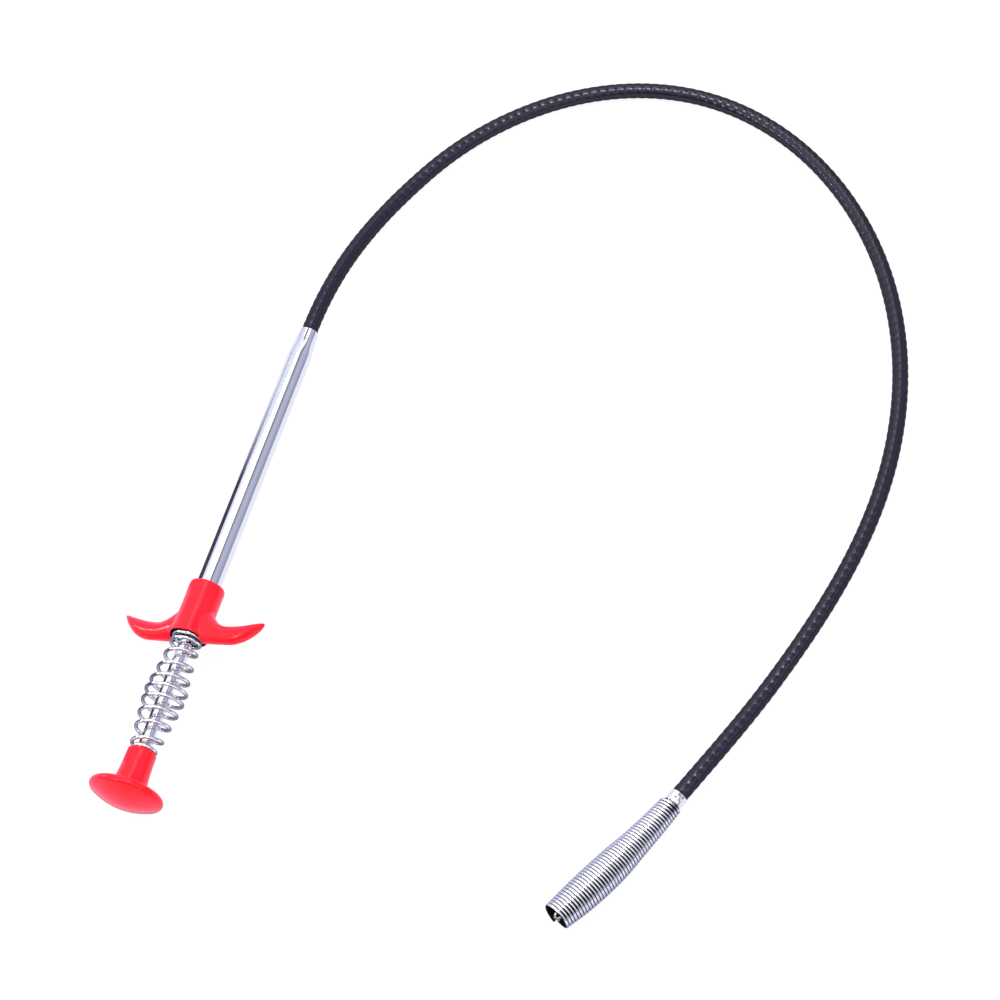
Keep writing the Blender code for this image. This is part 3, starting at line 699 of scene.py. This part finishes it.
def plunger_tube():
    """The sliding tube, its rear end in the knob and both its outer edges rounded."""
    lip = 0.35 * MM
    r, b = PLUNGER_RADIUS, PLUNGER_BORE
    outline = [(PLUNGER_REAR, b), (PLUNGER_REAR, r - lip)]
    outline += arc((PLUNGER_REAR + lip, r - lip), lip, 165, 90, 4)
    outline += [(x, r) for x in np.linspace(PLUNGER_REAR + 2 * lip, PLUNGER_FRONT - 2 * lip, 12)]
    outline += arc((PLUNGER_FRONT - lip, r - lip), lip, 90, 0, 5)
    outline += [(PLUNGER_FRONT, b)]
    return show("plunger_tube", turned(outline, 64, looped=True), handle_place())


def cable_crimp():
    """A turned slug, squeezed in two places onto the cable."""
    radius, ease = PLUNGER_BORE - 0.2 * MM, 0.15 * MM
    squeeze, breadth = 0.22 * MM, 0.9 * MM

    def squeezed(x, angle, r):
        depth = np.zeros_like(x)
        for share in (0.3, 0.7):
            middle = CRIMP_REAR + share * (CRIMP_FRONT - CRIMP_REAR)
            depth += np.exp(-(((x - middle) / breadth) ** 2)) * np.abs(np.cos(angle)) ** 6
        return np.where(r > CABLE_BORE * 1.1, r - squeeze * depth, r)

    outline = [(CRIMP_REAR, CABLE_BORE), (CRIMP_REAR, radius - ease)]
    outline += [(x, radius) for x in np.linspace(CRIMP_REAR + ease, CRIMP_FRONT - ease, 40)]
    outline += [(CRIMP_FRONT, radius - ease), (CRIMP_FRONT, CABLE_BORE)]
    mesh = turned(outline, 40, looped=True, dent=squeezed)
    return show("cable_crimp", mesh, handle_place())


def return_spring():
    """A barrel spring with its end turns closed up, its ends resting in the grip and on the knob."""
    front = RECESS_FLOOR - SPRING_WIRE - 0.2 * MM
    stations = front - np.concatenate([[0], np.cumsum(SPRING_PITCHES)])

    def centre(u):
        point = np.stack([spaced_value(stations, u), 0 * u, 0 * u], axis=-1)
        one = np.ones((len(u), 1))
        return point, one * (-1, 0, 0), one * (0, 1, 0), one * (0, 0, -1)

    def radius(u):
        return spaced_value(SPRING_RADII, u) - SPRING_WIRE

    line, outward = coil_line(centre, radius, len(SPRING_PITCHES), 64)
    mesh = skin(tube_rings(line, SPRING_WIRE, 14, outward))
    obj = show("return_spring", mesh, handle_place())
    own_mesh(obj)
    return obj


def mark_inside(mesh, shares):
    """Each point's value of how far inside it lies, from 0 up, for its material's painted shade and
    darkening.
    """
    layer = mesh.attributes.new(INSIDE, "FLOAT", "POINT")
    layer.data.foreach_set("value", np.asarray(shares, float).ravel())


def wing_section(reach):
    """A wing's (middle station, half breadth, half thickness) at a distance from the handle's axis."""
    thinnest = 0.3 * MM
    root = max(0.0, 1 - reach / WING_ROOT)
    sweep = max(0.0, (reach - WING_SWEEP_START) / (WING_REACH - WING_SWEEP_START))
    front = WING_FRONT + WING_ROOT_SWELL * root * root + WING_FRONT_SWEEP * sweep**1.5
    rear = WING_REAR + WING_REAR_SWEEP * sweep**2.2
    thickness = WING_HALF_THICKNESS + WING_ROOT_THICKEN * root
    fade = min(1.0, (WING_REACH - reach) / WING_TIP_ROUND)
    thickness *= math.sqrt(fade * (2 - fade))
    return 0.5 * (front + rear), max(0.5 * (front - rear), thinnest), max(thickness, thinnest)


def wings_mesh():
    """Both wings as one oval sweep through the grip, drawn forward at the tips."""
    sides, steps = 48, 60
    reaches = WING_REACH * 0.999 * np.sin(0.5 * math.pi * np.arange(1, steps + 1) / steps)
    stations = np.concatenate([-reaches[::-1], [0.0], reaches])
    angle = ring_angles(sides)
    rings = []
    for y in stations:
        middle, breadth, thickness = wing_section(max(abs(y), WING_CORE))
        ring = [middle + breadth * np.cos(angle), np.full(sides, y), thickness * np.sin(angle)]
        rings.append(np.stack(ring, axis=-1))
    return skin(rings)


def add_boolean(obj, operation, other):
    """A Boolean of one object with another."""
    boolean = obj.modifiers.new(other.name, "BOOLEAN")
    boolean.operation = operation
    boolean.object = other
    boolean.solver = "EXACT"


def applied(obj):
    """The mesh of an object with its modifiers applied."""
    bpy.context.view_layer.update()
    graph = bpy.context.evaluated_depsgraph_get()
    return bpy.data.meshes.new_from_object(obj.evaluated_get(graph))


def finger_grip():
    """The moulded grip: neck, mouth and wings melted into one skin, then bored for tube and spring."""
    pole, ease, corner = 0.4 * MM, 0.3 * MM, 0.9 * MM
    outline = [(GRIP_REAR, pole), (GRIP_REAR, GRIP_MOUTH_RADIUS - ease)]
    for t in np.linspace(0.03, 1.0, 16):
        station = GRIP_REAR + (GRIP_NECK_START - GRIP_REAR) * t
        widening = (GRIP_MOUTH_RADIUS - GRIP_NECK_RADIUS) * (1 - t) ** 2
        outline.append((station, GRIP_NECK_RADIUS + widening))
    outline += arc((GRIP_FRONT - corner, GRIP_NECK_RADIUS - corner), corner, 90, 0, 6)
    outline += [(GRIP_FRONT, pole)]
    body = linked("grip_body", turned(outline, 96))
    wings = linked("grip_wings", wings_mesh())
    add_boolean(body, "UNION", wings)
    melt = body.modifiers.new("melt", "REMESH")
    melt.mode, melt.voxel_size, melt.adaptivity = "VOXEL", 0.35 * MM, 0.0
    soften = body.modifiers.new("soften", "SMOOTH")
    soften.factor, soften.iterations = 0.5, 14
    bore, past = TUBE_RADIUS + 0.2 * MM, 2 * MM
    hollow = [(WING_REAR - past, RECESS_RADIUS), (RECESS_FLOOR, RECESS_RADIUS), (RECESS_FLOOR, bore)]
    hollow += [(GRIP_FRONT - ease, bore), (GRIP_FRONT, bore + ease), (GRIP_FRONT + past, bore + ease)]
    bores = linked("grip_bores", turned(hollow, 96))
    add_boolean(body, "DIFFERENCE", bores)
    mesh = applied(body)
    for obj in (body, wings, bores):
        bpy.data.objects.remove(obj)
    # painted shade in the spring's recess: its walls and floor are marked to be painted dark
    x, y, z = np.array([vertex.co for vertex in mesh.vertices]).T
    near = 0.02 * MM
    mark_inside(mesh, (np.hypot(y, z) < RECESS_RADIUS + near) & (x < RECESS_FLOOR + near))
    return show("finger_grip", mesh, handle_place())


def guide_bush():
    """A flanged nylon bush in the tube's rear end, guiding the plunger."""
    flange_front, flange = BUSH_REAR + BUSH_FLANGE, BUSH_FLANGE_RADIUS
    body, bore = TUBE_BORE - 0.2 * MM, PLUNGER_RADIUS + 0.3 * MM
    ease = 0.3 * MM
    outline = [(BUSH_REAR + ease, bore), (BUSH_REAR, bore + ease)]
    outline += arc((BUSH_REAR + ease, flange - ease), ease, 180, 90, 4)
    outline += [(flange_front, flange), (flange_front, body), (BUSH_FRONT - ease, body)]
    outline += [(BUSH_FRONT, body - ease), (BUSH_FRONT, bore)]
    return show("guide_bush", turned(outline, 72, looped=True), handle_place())


def off_marks(marks, size, x, angle, r):
    """The squared distance of each point from each (station, angle) mark, counted in mark sizes."""
    away = []
    for station, at in marks:
        around = (angle - at + math.pi) % (2 * math.pi) - math.pi
        away.append(((x - station) ** 2 + (around * r) ** 2) / size**2)
    return away


def punched(marks, depth, outside):
    """A dent function: punch marks with a burr twice as wide round each, in the outside points."""
    pit, burr = 2.6, 1.6

    def dent(x, angle, r):
        deep = np.zeros_like(x)
        for away in off_marks(marks, PUNCH_SIZE, x, angle, r):
            deep += pit * np.exp(-away) - burr * np.exp(-away / 4)
        deep[outside:] = 0.0
        return r - depth * deep

    return dent


def shaded_pits(mesh, marks, size):
    """Painted shade in the punch marks of a turned mesh."""
    x, y, z = np.array([vertex.co for vertex in mesh.vertices]).T
    away = off_marks(marks, size, x, np.arctan2(z, y), np.hypot(y, z))
    mark_inside(mesh, np.exp(-np.min(away, axis=0)))


def handle_tube():
    """The chromed tube, with a rolled rear edge and a front end drawn down onto the sheath."""
    lip, crease_depth = 0.25 * MM, 0.24 * MM
    outer = arc((TUBE_REAR + lip, TUBE_RADIUS - lip), lip, 180, 90, 4)
    outer += [(x, TUBE_RADIUS) for x in np.linspace(TUBE_REAR + MM, SWAGE_REAR, 40)]
    inner = []
    for t in np.linspace(0, 1, 32):
        station = SWAGE_REAR + (SWAGE_FRONT - SWAGE_REAR) * t
        drawn = smooth_step(t)
        outer.append((station + 0.01 * MM, TUBE_RADIUS + (SWAGE_RADIUS - TUBE_RADIUS) * drawn))
        inner.append((station, TUBE_BORE + (SWAGE_BORE - TUBE_BORE) * drawn))
    outer += [(x, SWAGE_RADIUS) for x in np.linspace(SWAGE_FRONT, TUBE_FRONT - lip, 24)[1:-1]]
    outer += arc((TUBE_FRONT - lip, SWAGE_RADIUS - lip), lip, 90, 0, 4)
    inner = [(TUBE_REAR, TUBE_BORE), *inner, (TUBE_FRONT, SWAGE_BORE)]
    left = math.radians(18) + ROLL
    marks = [(TUBE_FRONT - back, left + turn) for back in (3.8 * MM, 6.4 * MM) for turn in (0, math.pi)]
    punch = punched(marks, TUBE_PUNCH_DEPTH, len(outer))

    def worked(x, angle, r):
        drawn = smooth_step((x - SWAGE_REAR) / (SWAGE_FRONT - SWAGE_REAR))
        crease = crease_depth * drawn * np.abs(np.cos(2.5 * angle + 0.9)) ** 9
        crease[len(outer):] = 0.0
        return punch(x, angle, r) - crease

    mesh = turned(outer + inner[::-1], 120, looped=True, dent=worked)
    # painted shade in the punch marks
    shaded_pits(mesh, marks, TUBE_PIT_SHADE)
    return show("handle_tube", mesh, handle_place())


# ---------------------------------------------------------------- sheath

def sheath_jacket():
    """The vinyl jacket, drawn down between the turns of the spiral so that its ribs show."""
    sides, step, inner_rings = 24, 0.38 * MM, 240
    start, end = -SHEATH_HIDDEN, SHEATH_LENGTH - 0.3 * MM
    s = np.linspace(start, end, round((end - start) / step))
    point, _, across, upward = sheath_frames(s)
    phase = ring_angles(sides)[None, :] - 2 * math.pi * (s[:, None] - start) / SPIRAL_PITCH
    groove = (0.5 - 0.5 * np.cos(phase)) ** 2.2
    edge = np.clip(np.minimum(s - start, end - s) / (2 * MM), 0, 1)[:, None]
    radius = SHEATH_RADIUS - RIB_DEPTH * groove * edge
    spread = spokes(sides, across, upward)
    outer = point[:, None] + radius[..., None] * spread
    inner = (point[:, None] + SHEATH_BORE * spread)[::-1]
    coarse = inner[np.unique(np.linspace(0, len(inner) - 1, inner_rings).astype(int))]
    return show("sheath_jacket", skin(np.vstack([outer, coarse]), looped=True))


def sheath_spiral():
    """The steel spiral inside the jacket."""
    start = 0.5 * MM - SHEATH_HIDDEN
    length = SHEATH_LENGTH + 2.6 * MM - start
    turns = length / SPIRAL_PITCH

    def radius(u):
        return np.full(len(u), SPIRAL_RADIUS)

    line, outward = coil_line(lambda u: sheath_frames(start + length * u), radius, turns, 18)
    return show("sheath_spiral", skin(tube_rings(line, SPIRAL_WIRE, 8, outward)))


def cable_line():
    """The core cable's centre: straight in the handle, along the sheath, then into the claw's stem."""
    step = 2.0 * MM
    handle = HANDLE_X + np.arange(CABLE_REAR, SHEATH_START, step)
    straight = np.stack([handle, 0 * handle + HANDLE_Y, 0 * handle + AXIS_HEIGHT], axis=-1)
    run = sheath_points(np.arange(0, SHEATH_LENGTH, step))
    past, bowed_to, blend = 1.3 * MM, 6 * MM, 8 * MM
    t = np.arange(0, STEM_REAR + STROKE + past, step)
    bowed = moved(tip_frames(t)[0], tip_place())
    slide = moved(np.stack([t, 0 * t, 0 * t], axis=-1), claw_place())
    share = smooth_step((t - bowed_to) / blend)[:, None]
    return np.vstack([straight, run, bowed + (slide - bowed) * share])


def core_cable():
    """A wire rope: six strands laid round a core, as one fluted body."""
    line = cable_line()
    along = unit(np.gradient(line, axis=0))
    across = unit(np.cross((0, 0, 1), along))
    upward = np.cross(along, across)
    run = np.concatenate([[0], np.cumsum(np.linalg.norm(np.diff(line, axis=0), axis=1))])
    sides = 36
    lay = 2 * math.pi * run[:, None] / STRAND_LAY
    strand = np.abs(np.cos(3 * (ring_angles(sides)[None, :] - lay)))
    radius = CABLE_RADIUS * (0.80 + 0.20 * strand**0.7)
    return show("core_cable", skin(line[:, None] + radius[..., None] * spokes(sides, across, upward)))


# ---------------------------------------------------------------- tip

def tip_ferrule():
    """The bright sleeve between sheath and tip, crimped with punch marks."""
    seat, depth, hole, ease = SHEATH_BORE - 0.05 * MM, 3.4 * MM, 1.25 * MM, 0.25 * MM
    r = FERRULE_RADIUS
    outline = arc((ease, r - ease), ease, 180, 90, 4)
    outline += [(x, r) for x in np.linspace(ease, FERRULE_SLEEVE - ease, 24)[1:-1]]
    outline += arc((FERRULE_SLEEVE - ease, r - ease), ease, 90, 0, 4)
    sleeve = len(outline)
    outline += [(FERRULE_SLEEVE, SPIGOT_RADIUS), (FERRULE_LENGTH - ease, SPIGOT_RADIUS)]
    outline += [(FERRULE_LENGTH, SPIGOT_RADIUS - ease), (FERRULE_LENGTH, hole)]
    outline += [(depth, hole), (depth, seat), (0.0, seat)]
    marks = [(2.4 * MM, math.radians(a)) for a in (60, 88, 240, 268)]
    mesh = turned(outline, 96, looped=True, dent=punched(marks, FERRULE_PUNCH_DEPTH, sleeve))
    # painted shade in the punch marks
    shaded_pits(mesh, marks, FERRULE_PIT_SHADE)
    return show("tip_ferrule", mesh, tip_place())


def tip_spring():
    """The close-wound bulb of spring wire, with painted shade between its coils, and darker in a band
    and at its start.
    """
    start = FERRULE_SLEEVE + 0.3 * MM + TIP_WIRE
    length = TIP_LENGTH - TIP_WIRE - start

    def radius(u):
        return spaced_value(TIP_RADII, u) - TIP_WIRE

    line, outward = coil_line(lambda u: tip_frames(start + length * u), radius, length / TIP_PITCH, 48)
    sides = 16
    rings = tube_rings(line, TIP_WIRE, sides, outward)
    mesh = skin(rings)
    # painted shade on the inner face and flanks of the wire, between and inside the coils
    depth = 1 - np.maximum(np.sin(ring_angles(sides)), 0)
    middle_x = rings[:, :, 0].mean(axis=1)
    middle = rings.mean(axis=1) - tip_frames(middle_x)[0]
    around = np.arctan2(middle[:, 2], middle[:, 1])
    # extra darkening, in a band along one side and on the first coils, over the painted shade
    darkening = TIP_BAND_DARKENING * np.exp(-(((around - TIP_BAND_AT) / TIP_BAND_SPREAD) ** 2))
    darkening += TIP_FIRST_DARKENING * np.exp(-(((middle_x - start) / TIP_FIRST_COILS) ** 2))
    mark_inside(mesh, depth[None, :] + darkening[:, None])
    return show("tip_spring", mesh, tip_place(), TIP_LOOK)


def claw_stem():
    """The long sleeve on the cable, squeezed onto it near its rear end."""
    ease, middle = 0.2 * MM, STEM_REAR + 4 * MM
    squeeze, breadth = 0.3 * MM, 1.6 * MM

    def squeezed(x, angle, r):
        deep = np.exp(-(((x - middle) / breadth) ** 2)) * np.abs(np.cos(angle)) ** 4
        return np.where(r > CABLE_BORE * 1.2, r - squeeze * deep, r)

    outline = [(STEM_REAR, CABLE_BORE), (STEM_REAR, STEM_RADIUS - ease)]
    outline += [(x, STEM_RADIUS) for x in np.linspace(STEM_REAR + ease, STEM_FRONT - ease, 60)]
    outline += [(STEM_FRONT, STEM_RADIUS - ease), (STEM_FRONT, CABLE_BORE)]
    return show("claw_stem", turned(outline, 40, looped=True, dent=squeezed), claw_place())


def claw_collar():
    """The ring that grips the roots of the claws, with a groove rolled round it."""
    bore, r, ease = STEM_RADIUS + 0.3 * MM, COLLAR_RADIUS, 0.3 * MM
    middle, breadth, depth = 0.5 * (COLLAR_REAR + COLLAR_FRONT), 0.7 * MM, 0.25 * MM
    outline = [(COLLAR_REAR, bore)] + arc((COLLAR_REAR + ease, r - ease), ease, 180, 90, 4)
    for x in np.linspace(COLLAR_REAR + ease, COLLAR_FRONT - ease, 30)[1:-1]:
        groove = math.exp(-(((x - middle) / breadth) ** 2))
        outline.append((x, r - depth * groove))
    outline += arc((COLLAR_FRONT - ease, r - ease), ease, 90, 0, 4) + [(COLLAR_FRONT, bore)]
    return show("claw_collar", turned(outline, 56, looped=True), claw_place())


def claw(number):
    """A hooked claw of spring wire, on the frame's own hinge."""
    joint = JOINTS[f"claw_{number}_spread"]
    hinge = Vector(joint["axis"]).normalized()
    along = Vector(JOINTS["claw_slide"]["axis"]).normalized()
    outward = hinge.cross(along)
    place = Matrix.Translation(joint["pos_m"]) @ Matrix((along, outward, hinge)).transposed().to_4x4()
    shape = [(-0.4, 0.0), (3.0, 0.02), (7.0, 0.1), (11.0, 0.25), (15.0, 0.42), (18.0, 0.52)]
    shape += [(20.0, 0.45), (21.1, 0.25), (21.9, -0.05), (22.3, -0.3)]
    line = np.array([(x * MM, y * MM, 0) for x, y in through(shape, 8)])
    mesh = skin(tube_rings(line, CLAW_WIRE, 16, (0, 0, 1)))
    return show(f"claw_{number}", mesh, place, CLAW_LOOK)


# ---------------------------------------------------------------- studio

def sky():
    """Studio surroundings: a long white softbox overhead to the left, greyer to the right, dim low."""
    world = bpy.data.worlds.new("studio")
    bpy.context.scene.world = world
    world.use_nodes = True
    m = Nodes(world.node_tree)
    axes = m.add("ShaderNodeSeparateXYZ")
    m.set(axes, 0, m.add("ShaderNodeTexCoord").outputs["Generated"])
    x, y, z = (axes.outputs[axis] for axis in "XYZ")
    bands = m.add("ShaderNodeValToRGB")
    stops = bands.color_ramp.elements
    for at, colour in SKY_COLOURS:
        stops.new((at + 1) / 2).color = (*colour, 1.0)
    stops.remove(stops[0])
    stops.remove(stops[-1])
    m.set(bands, "Fac", m.ramp(y, -1.0, 1.0, 0.0, 1.0))
    overhead = m.ramp(y, *SOFTBOX_START, 0.0, 1.0)
    softbox = m.mixed(1.0, m.ramp(x, *SOFTBOX_END, 1.0, 0.0), overhead, "MULTIPLY")
    colour = m.mixed(softbox, bands.outputs["Color"], SOFTBOX_WHITE, "LIGHTEN")
    colour = m.mixed(1.0, colour, m.ramp(x, *REAR_CLEARS, REAR_LEVEL, 1.0), "MULTIPLY")
    colour = m.mixed(1.0, colour, m.ramp(z, *LOW_CLEARS, LOW_LEVEL, 1.0), "MULTIPLY")
    paths = m.add("ShaderNodeLightPath")
    seen = m.mixed(paths.outputs["Is Camera Ray"], colour, BACKDROP)
    m.set(m.tree.nodes["Background"], "Color", seen)


def flat_card(name, corners, faces, material):
    """An object of flat faces."""
    mesh = bpy.data.meshes.new(name)
    mesh.from_pydata(corners, [], faces)
    mesh.materials.append(material)
    return linked(name, mesh)


def reflected_only(card):
    """A card of the studio that shows in reflections and throws no shade."""
    card.visible_camera = False
    card.visible_diffuse = False
    card.visible_shadow = False
    card.visible_transmission = False


def ground():
    """A pale floor that reads nearly white, with a faint soft shadow."""
    corners = ((-1, -1), (1, -1), (1, 1), (-1, 1))
    floor = [(x * FLOOR_HALF, y * FLOOR_HALF, -FLOOR_DROP) for x, y in corners]
    m = Look("pale_paper", (0.85, 0.85, 0.86), 0.9)
    paths = m.add("ShaderNodeLightPath")
    glow = m.add("ShaderNodeEmission")
    m.set(glow, "Color", m.mixed(paths.outputs["Is Camera Ray"], FLOOR_REFLECTED, FLOOR_SEEN))
    seen = m.combined("MAXIMUM", paths.outputs["Is Camera Ray"], paths.outputs["Is Glossy Ray"])
    m.over(m.combined("MULTIPLY", seen, FLOOR_GLOW), glow.outputs[0])
    flat_card("studio_floor", floor, [(0, 1, 2, 3)], m.material)


def flags():
    """Low dark cards beside the handle, fading out towards the sheath."""
    y = HANDLE_Y + CARDS_ASIDE
    corners = []
    for rear, front, lift in FLAG_SPANS:
        rear, front = HANDLE_X + rear, HANDLE_X + front
        corners += [(rear, y, 0), (front, y, lift), (front, y, FLAG_TOP), (rear, y, FLAG_TOP)]
    m = Look("dark_card", (0.05, 0.045, 0.07), 0.9)
    axes = m.add("ShaderNodeSeparateXYZ")
    m.set(axes, 0, m.place)
    clear = m.add("ShaderNodeBsdfTransparent")
    start, end = HANDLE_X + FLAG_FADE[0], HANDLE_X + FLAG_FADE[1]
    m.over(m.ramp(axes.outputs["X"], start, end, 0.0, 1.0), clear.outputs[0])
    reflected_only(flat_card("studio_flags", corners, [(0, 1, 2, 3), (4, 5, 6, 7)], m.material))


def pale_card():
    """A pale card above the flags that widens towards the sheath."""
    y, rear, front = HANDLE_Y + CARDS_ASIDE, HANDLE_X + PALE_REAR, HANDLE_X + PALE_FRONT
    corners = [(rear, y, FLAG_TOP), (front, y, FLAG_TOP), (front, y, PALE_TOP)]
    m = Look("pale_card", (0.86, 0.88, 1.0), 0.9)
    reflected_only(flat_card("studio_pale_card", corners, [(0, 1, 2)], m.material))


def lamps():
    """Rectangular lamps, some of them shown in reflections."""
    for name, place, target, size, power, shown in LAMPS:
        light = bpy.data.lights.new(name, "AREA")
        light.shape = "RECTANGLE"
        light.size, light.size_y = size
        light.energy = power
        lamp = linked(name, light)
        lamp.location = place
        lamp.rotation_mode = "QUATERNION"
        lamp.rotation_quaternion = (Vector(target) - Vector(place)).to_track_quat("-Z", "Y")
        lamp.visible_glossy = shown
        lamp.visible_camera = False


def camera():
    """The camera, looking at its target along its azimuth and elevation."""
    a, e = math.radians(CAMERA_AZIMUTH), math.radians(CAMERA_ELEVATION)
    back = Vector((math.sin(a) * math.cos(e), -math.cos(a) * math.cos(e), math.sin(e)))
    lens = bpy.data.cameras.new("camera")
    lens.lens = CAMERA_LENS
    lens.sensor_width = CAMERA_SENSOR
    viewer = linked("camera", lens)
    viewer.location = CAMERA_TARGET + back * CAMERA_DISTANCE
    viewer.rotation_mode = "QUATERNION"
    viewer.rotation_quaternion = (-back).to_track_quat("-Z", "Y")
    bpy.context.scene.camera = viewer
    bpy.context.scene.view_settings.view_transform = "Standard"


PIECES = (
    thumb_knob, plunger_tube, cable_crimp, return_spring, finger_grip, guide_bush, handle_tube,
    sheath_jacket, sheath_spiral, core_cable, tip_ferrule, tip_spring, claw_stem, claw_collar,
)
for make in PIECES:
    make()
for number in range(1, CLAW_COUNT + 1):
    claw(number)
for prepare in (sky, ground, flags, pale_card, lamps, camera):
    prepare()
